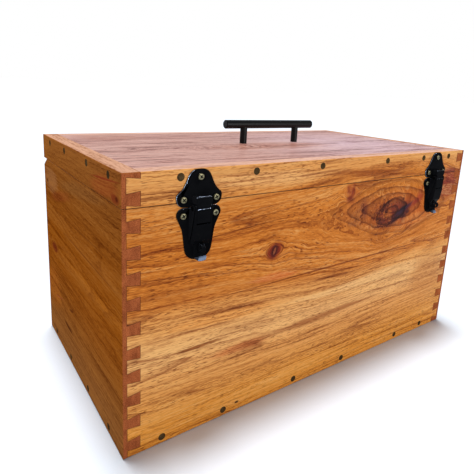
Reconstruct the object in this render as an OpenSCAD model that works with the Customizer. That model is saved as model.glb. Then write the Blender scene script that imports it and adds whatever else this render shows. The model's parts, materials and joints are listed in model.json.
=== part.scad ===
// Wooden trunk: one dovetailed case sawn in two below the top, so that box and lid match.
// Millimetres, +Z up. The origin is the middle of the underside, with the front towards -Y.

/* [Case] */
// Outside length, left to right
case_length = 555; // [460:5:800]
// Outside depth, front to back
case_depth = 300; // [240:5:420]
// Outside height with the lid shut, without the handle
case_height = 292; // [220:1:400]
// Height of the lid, from the saw cut to the top
lid_height = 32.5; // [32.5:0.5:70]
// Thickness of the four wall boards
board_t = 18; // [16:0.5:24]
// Thickness of the top and bottom panels
panel_t = 15; // [12:0.5:18]
// Width of the saw cut between box and lid
saw_gap = 0.4; // [0.3:0.1:0.8]
// Small flat planed on every outside edge
arris = 0.6; // [0.3:0.1:1.2]
// Small flat sanded on the edges of the saw cut
seam_arris = 0.2; // [0.1:0.1:1]

/* [Dovetails] */
// Distance from one pin to the next
dovetail_pitch = 25.4; // [20:0.2:36]
// Width of a pin on the inside of the corner
pin_width = 14; // [11:0.5:16]
// Slope of the tails
dovetail_angle = 7; // [4:0.5:9]
// Wood of the side boards left over the ends of the tails
lap = 4.5; // [3:0.5:6]
// Height of the middle of the lowest pin at the left corners
left_pin_height = 13.7; // [0:0.1:25]
// Height of the middle of the lowest pin at the right corners
right_pin_height = 2; // [0:0.1:25]

/* [Bevel and hinges] */
// Slope of the bevel behind the lid, on which the open lid rests
bevel_angle = 30; // [26:1:36]
// Flat rim left inside the bevel
bevel_land = 1.5; // [1:0.5:3]
// Room between the open lid and the bevel
stop_gap = 0.3; // [0.2:0.1:0.6]
// Length of a hinge
hinge_length = 50; // [40:1:80]
// Distance of a hinge's middle from the end of the case
hinge_inset = 100; // [60:1:160]
// Outside diameter of the hinge knuckles
knuckle_d = 6; // [5.4:0.2:6.6]
// Diameter of the hinge pin
hinge_pin_d = 2.5; // [2:0.1:3]
// Thickness of the hinge leaves
leaf_t = 1.5; // [1:0.1:2]
// Diameter of the hinge screws
hinge_screw_d = 2.8; // [2.4:0.1:3.2]
// Length of the hinge screws
hinge_screw_length = 11; // [8:0.5:12]

/* [Dowels] */
// Diameter of the dowels that hold the panels
dowel_d = 8; // [6:0.5:9]
// Length of the dowels
dowel_length = 34; // [28:1:36]
// Least distance of a front or back dowel from the ends of the case
front_dowel_margin = 42; // [42:1:60]
// Least distance of a side dowel from the front and back
side_dowel_margin = 33; // [30:1:60]

/* [Handle] */
// Distance of the handle's middle to the right of the lid's middle
handle_shift = 5; // [-60:1:60]
// Distance between the two handle posts
handle_centres = 96; // [64:32:128]
// Length of the handle bar
handle_length = 160; // [150:2:220]
// Diameter of the handle bar
bar_d = 12; // [10:1:16]
// Diameter of a handle post
post_d = 10; // [8:0.5:10]
// Height of the bar's middle above the lid
bar_height = 27; // [24:1:40]
// Flat turned on the ends of the bar
bar_chamfer = 1; // [0.5:0.1:2]
// Diameter of the bolts that hold the handle
handle_bolt_d = 4; // [3:0.5:5]
// Depth to which a bolt goes up into its post
handle_bolt_grip = 9; // [6:1:12]

/* [Latches] */
// Distance of the left latch's middle from the left end of the case
left_latch_inset = 78; // [68:1:100]
// Distance of the right latch's middle from the right end of the case
right_latch_inset = 74; // [56:1:76]
// Thickness of the strike plate
strike_t = 1.5; // [1.2:0.1:1.8]
// Height of the strike plate above the saw cut
strike_rise = 32; // [31:0.5:32]
// Depth of the base plate below the saw cut
base_drop = 59.3; // [56:0.1:62]
// Thickness of the latch base plate
base_t = 1.2; // [1:0.1:1.6]
// Distance between the two ear screws of a strike or a base
ear_spacing = 36; // [35:0.5:39]
// Height of the strike's ear screws above the saw cut
strike_ear_rise = 3; // [2.5:0.1:4]
// Height of the strike's top screw above the saw cut
strike_top_rise = 24.5; // [22:0.5:25.5]
// Depth of the base's ear screws below the saw cut
base_ear_drop = 13; // [11.5:0.5:14]
// Depth of the base's third screw, under the lever
base_third_drop = 32; // [29:0.5:34]
// Diameter of the latch screws
latch_screw_d = 3; // [2.5:0.1:3.2]
// Length of a latch screw under its head
latch_screw_length = 14; // [10:0.5:15]
// Diameter of a latch screw's round head
screw_head_d = 6.6; // [5.6:0.1:7]
// Width of the lever across its walls
lever_width = 18.6; // [17:0.2:20]
// Thickness of the lever's pressed metal
lever_t = 1.4; // [1.2:0.1:1.6]
// Thickness of the two cheeks that carry the lever
cheek_t = 1.3; // [1:0.1:1.8]
// Distance of the lever's pivot from the wood
pivot_out = 6.8; // [6.6:0.1:7.2]
// Depth of the lever's pivot below the saw cut
pivot_drop = 5; // [4.8:0.1:5.6]
// Distance of the claw's pin from the wood
claw_pin_out = 5.4; // [5.2:0.1:5.8]
// Depth of the claw's pin below the saw cut
claw_pin_drop = 14; // [13.8:0.1:14.4]
// Diameter of the rivets that the lever turns on
rivet_d = 3; // [2.4:0.1:3.4]
// Diameter of the pin that the claw turns on
claw_pin_d = 2.6; // [2:0.1:2.8]
// Width of the finger lip at the foot of the lever
lip_width = 13.4; // [12:0.2:15]
// Thickness of the padlock staple
staple_t = 4; // [3:0.2:4.4]
// Diameter of the padlock hole in the staple
padlock_hole_d = 5; // [4:0.1:5.4]
// Depth of the padlock hole below the saw cut
padlock_drop = 46; // [45.5:0.1:46.5]
// Distance of the padlock hole from the wood
padlock_out = 8.6; // [8.4:0.1:9.4]

/* [Hidden] */
$fn = 48;

// Colours, as the photograph shows them
front_wood = "#c98a4b";
side_wood = "#8a5a34";
panel_wood = "#c59a90";
dowel_wood = "#4c3b2c";
black_metal = "#17171a";
screw_metal = "#b9ae8c";
hinge_metal = "#a8925a";

// Clearances
cut = 1;                // how far a cutter runs past what it cuts
seat_gap = 0.02;        // round a piece that sits fast in its hole
running_gap = 0.05;     // round a pin that turns
side_gap = 0.3;         // between faces that slide past each other
hole_relief = 0.5;      // how much deeper a blind hole is than its piece
least_neck = 0.6;       // the thinnest neck that still holds a part tail on its board
wood_between = 3;       // least wood left between a dowel and a screw

// Heights
saw_line = case_height - lid_height;
rim_height = saw_line - saw_gap / 2;
lid_underside = saw_line + saw_gap / 2;

// Places of the dowels, as shares of the run between the margins: they are spaced by eye
front_top_shares = [0.033, 0.222, 0.429, 0.687, 0.862, 1];
front_bottom_shares = [0, 0.162, 0.39, 0.58, 0.835, 0.977];
side_top_shares = [0, 0.286, 0.663, 0.97];
side_bottom_shares = [0.041, 0.352, 0.672, 0.993];

// The bevel: the lid's back face lands flat on it, so the hinge pin is as far from one as the other
bevel_depth = board_t - bevel_land;
lid_open = 90 + bevel_angle;
knuckle_r = knuckle_d / 2;
pin_below_rim = knuckle_r;
pin_from_back = (sin(bevel_angle) * bevel_depth - cos(bevel_angle) * pin_below_rim - stop_gap)
    / (1 + sin(bevel_angle));
hinge_y = case_depth / 2 - pin_from_back;
hinge_z = rim_height - pin_below_rim;
pin_to_bevel = pin_from_back + stop_gap;
pin_to_lid = lid_underside - hinge_z;
leaf_start = 0.9;
leaf_foot = 2;
leaf_margin = 1;
leaf_reach = (bevel_depth - pin_from_back) * cos(bevel_angle) + pin_below_rim * sin(bevel_angle)
    - leaf_margin;
hinge_screw_reach = leaf_start + leaf_foot + (leaf_reach - leaf_start - leaf_foot) / 2;
hinge_screw_head_d = 5;
hinge_pin_cap = 0.8;
knuckles = 5;
knuckle_step = hinge_length / knuckles;

// The latch, in its own plane: out is the distance from the wood, up is from the saw cut
lever_nose = 3.7;                              // round end of the lever above its pivot
lever_front = pivot_out + lever_nose;
lever_inside = claw_pin_out - 3.2;             // back edge of the lever's walls
lever_top_edge = -claw_pin_drop - 7;           // top of the lever's front wall
lever_bend = [lever_front, -24];
lever_bend_r = 12;
lever_knee = [lever_front - 1.6, -37.5];
lever_step = [5.2, -42.8];
lever_knee_r = 4;
lever_step_r = 2.5;
lip_start = [4.7, -50.5];
lip_radius = 9;
lip_sweep = 64;
staple_r = 4.5;
staple_foot = 1;
staple_foot_reach = 6;
strike_ledge = 4.85;                           // top of the hook that the claw pulls on
strike_hook_out = 7.4;
strike_hook_width = 13;
claw_lip_under = strike_ledge + 0.35;
claw_t = 1.7;
claw_top = claw_lip_under + 1.3;
claw_front = lever_front - 0.5;
claw_low_front = lever_front + 0.1;
claw_inside = claw_front - claw_t;
claw_neck_width = lever_width - 2 * lever_t - 0.8;
claw_boss_r = 2.6;
claw_foot = -claw_pin_drop - 5.7;
claw_step = -5.4;
cheek_inner = lever_width / 2 + side_gap;
cheek_outer = cheek_inner + cheek_t;
cheek_r = 3.2;
cheek_foot = [2.4, -37.4];
cheek_bend = [4.4, -31];
cheek_heel = [2.1, -6];
rivet_head_d = 4.8;
rivet_head = 0.8;
ear_half = ear_spacing / 2;

// Corners of the plates, each as across, up and radius; an ear's are counted from its screw
strike_crown = [9.3, strike_rise, 11];
strike_waist = [18.4, 12.3, 21];
strike_ear_top = [7.4, 7.5, 5];
strike_ear_foot = [6.8, -4.9, 8.4];
base_ear_top = [7.3, -5.4, 7];
base_ear_foot = [6.6, -14.2, 5];
base_waist = [18.2, -27.4, 25];
base_flank_rise = 12.1;
base_flank = [15.4, base_flank_rise - base_drop, 38];
base_foot = [12.9, -base_drop, 12.6];

// One corner of an outline, rounded: points along the arc from the side a-b to the side b-c
function unit(v) = v / norm(v);
function corner(a, b, c, r) = let (u = unit(a - b), w = unit(c - b), half = acos(u * w) / 2,
    centre = b + unit(u + w) * r / sin(half), s = b + u * r / tan(half) - centre,
    e = b + w * r / tan(half) - centre, start = atan2(s[1], s[0]), raw = atan2(e[1], e[0]) - start,
    sweep = raw > 180 ? raw - 360 : raw < -180 ? raw + 360 : raw, steps = ceil(abs(sweep) / 10))
    [for (i = [0:steps]) centre + r * [cos(start + sweep * i / steps), sin(start + sweep * i / steps)]];

// A closed outline whose corners are given as [across, up, radius]; a radius of 0 stays sharp
function rounded(p) = let (n = len(p)) [for (i = [0:n - 1])
    let (b = [p[i][0], p[i][1]], a = p[(i + n - 1) % n], c = p[(i + 1) % n])
    each p[i][2] == 0 ? [b] : corner([a[0], a[1]], b, [c[0], c[1]], p[i][2])];

// An outline given for its right half, top to bottom, and its mirror image on the left
function both_sides(p) = concat(p, [for (i = [len(p) - 1:-1:0]) [-p[i][0], p[i][1], p[i][2]]]);

// A strip of metal along an open line, its thickness laid to the right of the way it runs
function along(p, i) = unit(p[i + 1] - p[i]);
function right_of(d) = [d[1], -d[0]];
function mitre(p, i) = i == 0 ? right_of(along(p, 0))
    : i == len(p) - 1 ? right_of(along(p, i - 1))
    : let (m = right_of(along(p, i - 1)), n = right_of(along(p, i))) (m + n) / (1 + m * n);
function strip(p, t) = concat(p, [for (i = [len(p) - 1:-1:0]) p[i] + t * mitre(p, i)]);

// Outline of the strike plate and of the base plate, right half
function by_ear(p) = [ear_half + p[0], p[1], p[2]];
strike_outline = both_sides([strike_crown, strike_waist, by_ear(strike_ear_top),
    by_ear(strike_ear_foot)]);
base_outline = both_sides([by_ear(base_ear_top), by_ear(base_ear_foot), base_waist, base_flank,
    base_foot]);
lever_line = concat([[lever_front, lever_top_edge]],
    corner([lever_front, lever_top_edge], lever_bend, lever_knee, lever_bend_r),
    corner(lever_bend, lever_knee, lever_step, lever_knee_r),
    corner(lever_knee, lever_step, lip_start, lever_step_r),
    [for (a = [0:lip_sweep / 6:lip_sweep]) lip_start + lip_radius * [1 - cos(a), -sin(a)]]);

// Builds across the case: an outline of across and up, thickened from the front face backwards
module thick_from_front(t) translate([0, t, 0]) rotate([90, 0, 0]) linear_extrude(t) children();

// Cross-section of the corner joint, seen from the front: u runs in from the side of the case.
// A pin whose wide end would cut the last of a tail off its board, beside the edge low or high
// of the box or lid, runs on to that edge.
function pin_half(u) = pin_width / 2 - (board_t - u) * tan(dovetail_angle);
function runs_out(z, edge) = abs(edge - z) < pin_width / 2 + least_neck
    && abs(edge - z) > pin_half(lap);
function pin_foot(z, u, low) = z > low && runs_out(z, low) ? low - cut : z - pin_half(u);
function pin_head(z, u, high) = z < high && runs_out(z, high) ? high + cut : z + pin_half(u);
module pins(lowest, reach, low, high) {
    for (z = [lowest:dovetail_pitch:high + pin_width]) if (z > low - pin_width)
        polygon([[lap, pin_foot(z, lap, low)], [reach, pin_foot(z, reach, low)],
            [reach, pin_head(z, reach, high)], [lap, pin_head(z, lap, high)]]);
}
module tails(lowest, low, high) {
    difference() {
        translate([lap, low - cut]) square([board_t + cut - lap, high - low + 2 * cut]);
        pins(lowest, board_t + cut, low, high);
    }
}

// A board with tails at both ends: the front and the back
module tail_board(low, high) {
    thick_from_front(board_t) difference() {
        translate([lap, low]) square([case_length - 2 * lap, high - low]);
        pins(left_pin_height, board_t, low, high);
        translate([case_length, 0]) mirror([1, 0]) pins(right_pin_height, board_t, low, high);
    }
}

// A board with pins at both ends and a lap over the tails: the left and the right side
module pin_board(lowest, low, high) {
    difference() {
        translate([0, 0, low]) cube([board_t, case_depth, high - low]);
        for (y = [-cut, case_depth - board_t]) translate([0, y, 0])
            thick_from_front(board_t + cut) tails(lowest, low, high);
    }
}

module from_corner() translate([-case_length / 2, -case_depth / 2, 0]) children();
module front_wall(low, high) from_corner() tail_board(low, high);
module back_wall(low, high) from_corner() translate([0, case_depth - board_t, 0])
    tail_board(low, high);
module left_wall(low, high) from_corner() pin_board(left_pin_height, low, high);
module right_wall(low, high) from_corner() translate([case_length, 0, 0]) mirror([1, 0, 0])
    pin_board(right_pin_height, low, high);

// A block with an arris on every edge, smaller where the saw cut leaves the edge
module flattened(size, foot = arris, head = arris) {
    x = size[0] / 2;
    y = size[1] / 2;
    polygon([[x - foot, -y], [x, -y + foot], [x, y - head], [x - head, y],
        [-x + head, y], [-x, y - head], [-x, -y + foot], [-x + foot, -y]]);
}
module planed_block(low, high, foot = arris, head = arris) {
    tall = high - low;
    translate([0, 0, low]) intersection() {
        linear_extrude(tall) flattened([case_length, case_depth]);
        translate([0, 0, tall / 2]) rotate([90, 0, 0])
            linear_extrude(case_depth, center = true)
                flattened([case_length, tall], foot, head);
        translate([0, 0, tall / 2]) rotate([90, 0, 90])
            linear_extrude(case_length, center = true)
                flattened([case_depth, tall], foot, head);
    }
}

// The wedge that the bevel takes off the box, over its whole length
module back_bevel() {
    drop = (bevel_depth + cut) * tan(bevel_angle);
    translate([0, case_depth / 2 - bevel_depth, rim_height]) rotate([90, 0, 90])
        linear_extrude(case_length + 2 * cut, center = true)
            polygon([[0, 0], [bevel_depth + cut, -drop], [bevel_depth + cut, cut],
                [-cut * cos(bevel_angle), cut]]);
}

module box_part() {
    difference() {
        intersection() {
            children();
            planed_block(0, rim_height, head = seam_arris);
        }
        back_bevel();
    }
}
module lid_part() {
    intersection() {
        children();
        planed_block(lid_underside, case_height, foot = seam_arris);
    }
}

// Dowel places: +Z of the child points into the wood
function front_at(share) = -case_length / 2 + front_dowel_margin
    + share * (case_length - 2 * front_dowel_margin);
function side_at(share) = -case_depth / 2 + side_dowel_margin
    + share * (case_depth - 2 * side_dowel_margin);
// A dowel that would meet a latch's top screw is set beside it
function beside(x, middle, room) = abs(x - middle) >= room ? x
    : x < middle ? middle - room : middle + room;
function front_clear(s) = let (room = dowel_d / 2 + screw_head_d / 2 + wood_between)
    beside(beside(front_at(s), left_latch_x, room), right_latch_x, room);
module front_places(shares, z) for (s = shares)
    translate([front_clear(s), -case_depth / 2, z]) rotate([-90, 0, 0]) children();
module back_places(shares, z) for (s = shares)
    translate([front_at(s), case_depth / 2, z]) rotate([90, 0, 0]) children();
module left_places(shares, z) for (s = shares)
    translate([-case_length / 2, side_at(s), z]) rotate([0, 90, 0]) children();
module right_places(shares, z) for (s = shares)
    translate([case_length / 2, side_at(s), z]) rotate([0, -90, 0]) children();
top_dowel_z = case_height - panel_t / 2;
bottom_dowel_z = panel_t / 2;
module dowel() cylinder(d = dowel_d, h = dowel_length);
module dowel_hole() translate([0, 0, -cut])
    cylinder(r = dowel_d / 2 + seat_gap, h = dowel_length + hole_relief + cut);

// Screws: the origin is the seat of the head, and the shank runs down -Z
module screw_cross(size, depth, top) {
    for (turn = [0, 90]) rotate(turn) translate([-size / 2, -size / 8, top - depth])
        cube([size, size / 4, depth + cut]);
}
module shank(d, long) rotate_extrude()
    polygon([[0, 0], [d / 2, 0], [d / 2, -long + 1.2 * d], [0, -long]]);
module round_head_screw() {
    rim = 0.9;
    head = 2.2;
    r = screw_head_d / 2;
    difference() {
        union() {
            rotate_extrude() polygon(concat([[0, 0], [r, 0]],
                [for (a = [0:15:90]) [r - rim + rim * cos(a), head - rim + rim * sin(a)]],
                [[0, head]]));
            shank(latch_screw_d, latch_screw_length);
        }
        screw_cross(3.4, 1.3, head);
    }
}
module flat_head_screw() {
    sink = (hinge_screw_head_d - hinge_screw_d) / 2;
    difference() {
        union() {
            rotate_extrude() polygon([[0, 0], [hinge_screw_head_d / 2, 0],
                [hinge_screw_d / 2, -sink], [0, -sink]]);
            shank(hinge_screw_d, hinge_screw_length);
        }
        screw_cross(2.8, 0.7, 0);
    }
}
module screw_hole(d, long, gap = seat_gap) translate([0, 0, -long - hole_relief])
    cylinder(r = d / 2 + gap, h = long + hole_relief + cut);
module flat_head_hole() {
    sink = (hinge_screw_head_d - hinge_screw_d) / 2;
    screw_hole(hinge_screw_d, hinge_screw_length);
    translate([0, 0, -sink]) cylinder(r1 = hinge_screw_d / 2 + seat_gap,
        r2 = hinge_screw_head_d / 2 + seat_gap + cut, h = sink + cut);
}

// Hinges: children are drawn round the pin. lid_side() turns a leaf drawn for the bevel
// so that it lies under the lid.
module at_hinge(x) translate([x, hinge_y, hinge_z]) children();
module along_hinge(long) rotate([90, 0, 90]) linear_extrude(long, center = true) children();
left_hinge_x = -case_length / 2 + hinge_inset;
right_hinge_x = case_length / 2 - hinge_inset;
hinge_screw_edge = 8;
hinge_screw_spread = hinge_length / 2 - hinge_screw_edge;

// Places of a leaf's screws on a plate at the given distance from the pin
module leaf_screw_places(from_pin) for (x = [-hinge_screw_spread, 0, hinge_screw_spread])
    translate([x, -hinge_screw_reach, -from_pin]) children();
module on_bevel() rotate([-bevel_angle, 0, 0]) children();
module under_lid() rotate([180, 0, 0]) mirror([0, 1, 0]) children();

// The plate of a leaf and its recess in the wood, in the plane across the pin
module leaf_plate(from_pin, gap = 0, above = 0) {
    translate([-leaf_reach - gap, -from_pin - leaf_t])
        square([leaf_reach - leaf_start + 2 * gap, leaf_t + above]);
}
module hinge_leaf(from_pin, own, pin_gap) {
    difference() {
        union() {
            along_hinge(hinge_length) leaf_plate(from_pin);
            for (k = own) translate([(k - (knuckles - 1) / 2) * knuckle_step, 0, 0])
                along_hinge(knuckle_step - side_gap) {
                    circle(r = knuckle_r);
                    translate([-leaf_start - leaf_foot, -from_pin - leaf_t / 2])
                        square([leaf_foot, from_pin + leaf_t / 2 - 0.6]);
                }
        }
        along_hinge(hinge_length + 2 * cut) circle(r = hinge_pin_d / 2 + pin_gap);
        leaf_screw_places(from_pin) flat_head_hole();
    }
}
module hinge_recess(from_pin) along_hinge(hinge_length + 2 * seat_gap)
    leaf_plate(from_pin, seat_gap, cut * 2);
module hinge_pin() along_x() {
    cylinder(d = hinge_pin_d, h = hinge_length, center = true);
    for (side = [-1, 1]) translate([0, 0, side * (hinge_length + hinge_pin_cap) / 2])
        cylinder(d = knuckle_d - 1.2, h = hinge_pin_cap, center = true);
}
module along_x() rotate([0, 90, 0]) children();
module case_leaf(x) at_hinge(x) on_bevel() hinge_leaf(pin_to_bevel, [0, 2, 4], seat_gap);
module lid_leaf(x) at_hinge(x) under_lid() hinge_leaf(pin_to_lid, [1, 3], running_gap);
module case_hinge_cuts() for (x = [left_hinge_x, right_hinge_x]) at_hinge(x) on_bevel() {
    hinge_recess(pin_to_bevel);
    leaf_screw_places(pin_to_bevel) screw_hole(hinge_screw_d, hinge_screw_length);
}
module lid_hinge_cuts() for (x = [left_hinge_x, right_hinge_x]) at_hinge(x) under_lid() {
    hinge_recess(pin_to_lid);
    leaf_screw_places(pin_to_lid) screw_hole(hinge_screw_d, hinge_screw_length);
}

// Latches: side_on() takes an outline of out and up, face_on() one of across and up
left_latch_x = -case_length / 2 + left_latch_inset;
right_latch_x = case_length / 2 - right_latch_inset;
module at_latch(x) translate([x, -case_depth / 2, saw_line]) children();
module side_on(wide) rotate([90, 0, -90]) linear_extrude(wide, center = true) children();
module face_on(from, to) translate([0, -from, 0]) rotate([90, 0, 0]) linear_extrude(to - from)
    children();
module two_sides(x) for (side = [-1, 1]) translate([side * x, 0, 0]) children();
module screw_at(across, out, up) translate([across, -out, up]) rotate([90, 0, 0]) children();
module strike_screw_places() {
    two_sides(ear_half) screw_at(0, strike_t, strike_ear_rise) children();
    screw_at(0, strike_t, strike_top_rise) children();
}
module base_screw_places() {
    two_sides(ear_half) screw_at(0, base_t, -base_ear_drop) children();
    screw_at(0, base_t, -base_third_drop) children();
}
module latch_screw_hole(gap = seat_gap) screw_hole(latch_screw_d, latch_screw_length, gap);

module strike() {
    hook_back = strike_t / 2;
    difference() {
        union() {
            face_on(0, strike_t) polygon(rounded(strike_outline));
            side_on(strike_hook_width) polygon([[hook_back, -1], [4.2, -1],
                [strike_hook_out, 1.8], [strike_hook_out, strike_ledge - 0.7],
                [strike_hook_out - 0.7, strike_ledge], [hook_back, strike_ledge]]);
        }
        strike_screw_places() latch_screw_hole();
        // below the saw cut the plate hangs clear of the box
        face_on(-cut, side_gap) translate([-2 * ear_half, -3 * lid_height])
            square([4 * ear_half, 3 * lid_height]);
    }
}

module base_plate() {
    difference() {
        union() {
            face_on(0, base_t) polygon(rounded(base_outline));
            two_sides(cheek_inner + cheek_t / 2) side_on(cheek_t) {
                translate([pivot_out, -pivot_drop]) circle(r = cheek_r);
                polygon([[base_t / 2, cheek_foot[1]], cheek_foot, cheek_bend,
                    [pivot_out + cheek_r, -pivot_drop], [pivot_out - cheek_r, -pivot_drop],
                    cheek_heel, [base_t / 2, cheek_heel[1]]]);
            }
        }
        base_screw_places() latch_screw_hole();
        translate([0, -pivot_out, -pivot_drop]) along_x()
            cylinder(r = rivet_d / 2 + seat_gap, h = 3 * lever_width, center = true);
    }
}

module staple() {
    difference() {
        union() {
            side_on(staple_t) {
                translate([padlock_out, -padlock_drop]) circle(r = staple_r);
                translate([base_t, -padlock_drop - staple_r])
                    square([padlock_out - base_t, 2 * staple_r]);
            }
            face_on(base_t, base_t + staple_foot) translate([-staple_t, -padlock_drop
                - staple_foot_reach]) square([2 * staple_t, 2 * staple_foot_reach]);
        }
        translate([0, -padlock_out, -padlock_drop]) along_x()
            cylinder(d = padlock_hole_d, h = 2 * lever_width, center = true);
    }
}

module lever_wall() {
    translate([pivot_out, -pivot_drop]) circle(r = lever_nose);
    polygon([[lever_front, -pivot_drop], lever_bend, lever_knee,
        [lever_step[0], lever_step[1] + 1], [lever_inside, lever_step[1] + 1],
        [lever_inside, -claw_pin_drop + 2], [pivot_out - lever_nose, -pivot_drop]]);
}
module lever() {
    difference() {
        union() {
            two_sides(lever_width / 2 - lever_t / 2) side_on(lever_t) lever_wall();
            side_on(lever_width) intersection() {
                polygon(strip(lever_line, lever_t));
                translate([0, lever_step[1] - 0.6]) square([2 * lever_front, lid_height]);
            }
            intersection() {
                side_on(lip_width) polygon(strip(lever_line, lever_t));
                face_on(0, 2 * lever_front) polygon(rounded(both_sides([[lip_width / 2, 0, 0],
                    [lip_width / 2, lip_start[1] - lip_radius * sin(lip_sweep), 4]])));
            }
        }
        translate([0, -pivot_out, -pivot_drop]) along_x()
            cylinder(r = rivet_d / 2 + running_gap, h = 2 * lever_width, center = true);
        translate([0, -claw_pin_out, -claw_pin_drop]) along_x()
            cylinder(r = claw_pin_d / 2 + seat_gap, h = 2 * lever_width, center = true);
        // slot that lets the staple through
        face_on(base_t, 3 * lever_front) translate([-staple_t / 2 - 2 * side_gap,
            -padlock_drop - staple_r - 0.8]) square([staple_t + 4 * side_gap, 2 * staple_r + 1.6]);
    }
}

module claw() {
    wing = lever_t;
    head_foot = -0.8;
    difference() {
        union() {
            side_on(claw_neck_width) {
                polygon([[claw_low_front - 0.4, claw_foot], [claw_low_front, claw_foot + 0.4],
                    [claw_low_front, claw_step - 0.6], [claw_front, claw_step],
                    [claw_front, head_foot + 1], [claw_inside, head_foot + 1],
                    [claw_inside, claw_foot]]);
                translate([claw_pin_out, -claw_pin_drop]) circle(r = claw_boss_r);
                translate([claw_pin_out, -claw_pin_drop - claw_boss_r])
                    square([claw_inside + 0.3 - claw_pin_out, 2 * claw_boss_r]);
            }
            intersection() {
                union() {
                    side_on(lever_width) polygon([[claw_front, head_foot],
                        [claw_front, claw_top - 0.8], [claw_front - 0.8, claw_top],
                        [2.6, claw_top], [2.6, claw_lip_under], [claw_inside, claw_lip_under],
                        [claw_inside, head_foot]]);
                    two_sides(lever_width / 2 - wing / 2) side_on(wing)
                        translate([2.6, head_foot])
                            square([claw_inside + 0.2 - 2.6, claw_top - head_foot - 0.2]);
                }
                face_on(0, 2 * lever_front) polygon(rounded(both_sides([
                    [lever_width / 2, claw_top, 2.6], [lever_width / 2, head_foot, 0.8]])));
            }
        }
        translate([0, -claw_pin_out, -claw_pin_drop]) along_x()
            cylinder(r = claw_pin_d / 2 + running_gap, h = 2 * lever_width, center = true);
    }
}

module rivets() {
    long = cheek_outer - lever_width / 2 + lever_t;
    for (side = [-1, 1]) translate([0, -pivot_out, -pivot_drop]) rotate([0, side * 90, 0]) {
        translate([0, 0, cheek_outer - long]) cylinder(d = rivet_d, h = long);
        translate([0, 0, cheek_outer]) cylinder(d1 = rivet_head_d, d2 = rivet_d, h = rivet_head);
    }
}
module claw_pin() translate([0, -claw_pin_out, -claw_pin_drop]) along_x()
    cylinder(d = claw_pin_d, h = lever_width, center = true);

module latch_cuts_above() for (x = [left_latch_x, right_latch_x]) at_latch(x)
    strike_screw_places() latch_screw_hole();
module latch_cuts_below() for (x = [left_latch_x, right_latch_x]) at_latch(x)
    base_screw_places() latch_screw_hole();

// Handle
module handle_places() translate([handle_shift, 0, 0]) two_sides(handle_centres / 2) children();
bar_z = case_height + bar_height;
bolt_head_d = 2 * handle_bolt_d;
bolt_head = 0.65 * handle_bolt_d;
module handle_post(side) translate([handle_shift + side * handle_centres / 2, 0, case_height])
    difference() {
        cylinder(d = post_d, h = bar_height);
        translate([0, 0, bar_height]) along_x()
            cylinder(r = bar_d / 2 + seat_gap, h = 2 * bar_d, center = true);
        translate([0, 0, -cut]) cylinder(r = handle_bolt_d / 2 + running_gap,
            h = handle_bolt_grip + hole_relief + cut);
    }
module handle_bolt() {
    dome = 1;
    difference() {
        union() {
            cylinder(d = handle_bolt_d, h = panel_t + handle_bolt_grip);
            rotate_extrude() polygon(concat([[0, 0], [0, -bolt_head]],
                [for (a = [90:-15:0]) [bolt_head_d / 2 - dome + dome * cos(a),
                    -bolt_head + dome - dome * sin(a)]], [[bolt_head_d / 2, 0]]));
        }
        translate([0, 0, -bolt_head]) mirror([0, 0, 1]) screw_cross(4.2, 1.5, 0);
    }
}

// The nodes
module front_board() color(front_wood) difference() {
    box_part() front_wall(0, rim_height);
    front_places(front_bottom_shares, bottom_dowel_z) dowel_hole();
    latch_cuts_below();
}
module back_board() color(front_wood) difference() {
    box_part() back_wall(0, rim_height);
    back_places(front_bottom_shares, bottom_dowel_z) dowel_hole();
    case_hinge_cuts();
}
module left_board() color(side_wood) difference() {
    box_part() left_wall(0, rim_height);
    left_places(side_bottom_shares, bottom_dowel_z) dowel_hole();
}
module right_board() color(side_wood) difference() {
    box_part() right_wall(0, rim_height);
    right_places(side_bottom_shares, bottom_dowel_z) dowel_hole();
}
module panel(low) translate([-case_length / 2 + board_t, -case_depth / 2 + board_t, low])
    cube([case_length - 2 * board_t, case_depth - 2 * board_t, panel_t]);
module bottom_panel() color(front_wood) difference() {
    panel(0);
    case_dowel_places() dowel_hole();
}
module case_dowel_places() {
    front_places(front_bottom_shares, bottom_dowel_z) children();
    back_places(front_bottom_shares, bottom_dowel_z) children();
    left_places(side_bottom_shares, bottom_dowel_z) children();
    right_places(side_bottom_shares, bottom_dowel_z) children();
}
module case_dowels() color(dowel_wood) case_dowel_places() dowel();
module lid_front_rail() color(front_wood) difference() {
    lid_part() front_wall(lid_underside, case_height);
    front_places(front_top_shares, top_dowel_z) dowel_hole();
    latch_cuts_above();
}
module lid_back_rail() color(front_wood) difference() {
    lid_part() back_wall(lid_underside, case_height);
    back_places(front_top_shares, top_dowel_z) dowel_hole();
    lid_hinge_cuts();
}
module lid_left_rail() color(side_wood) difference() {
    lid_part() left_wall(lid_underside, case_height);
    left_places(side_top_shares, top_dowel_z) dowel_hole();
}
module lid_right_rail() color(side_wood) difference() {
    lid_part() right_wall(lid_underside, case_height);
    right_places(side_top_shares, top_dowel_z) dowel_hole();
}
module lid_top_panel() color(panel_wood) difference() {
    panel(case_height - panel_t);
    lid_dowel_places() dowel_hole();
    handle_places() translate([0, 0, case_height - panel_t - cut])
        cylinder(r = handle_bolt_d / 2 + running_gap, h = panel_t + 2 * cut);
}
module lid_dowel_places() {
    front_places(front_top_shares, top_dowel_z) children();
    back_places(front_top_shares, top_dowel_z) children();
    left_places(side_top_shares, top_dowel_z) children();
    right_places(side_top_shares, top_dowel_z) children();
}
module lid_dowels() color(dowel_wood) lid_dowel_places() dowel();
module handle_bar() color(black_metal) translate([handle_shift, 0, bar_z]) along_x()
    rotate_extrude() polygon([[0, -handle_length / 2], [bar_d / 2 - bar_chamfer, -handle_length / 2],
        [bar_d / 2, -handle_length / 2 + bar_chamfer], [bar_d / 2, handle_length / 2 - bar_chamfer],
        [bar_d / 2 - bar_chamfer, handle_length / 2], [0, handle_length / 2]]);
module handle_left_post() color(black_metal) handle_post(-1);
module handle_right_post() color(black_metal) handle_post(1);
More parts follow.
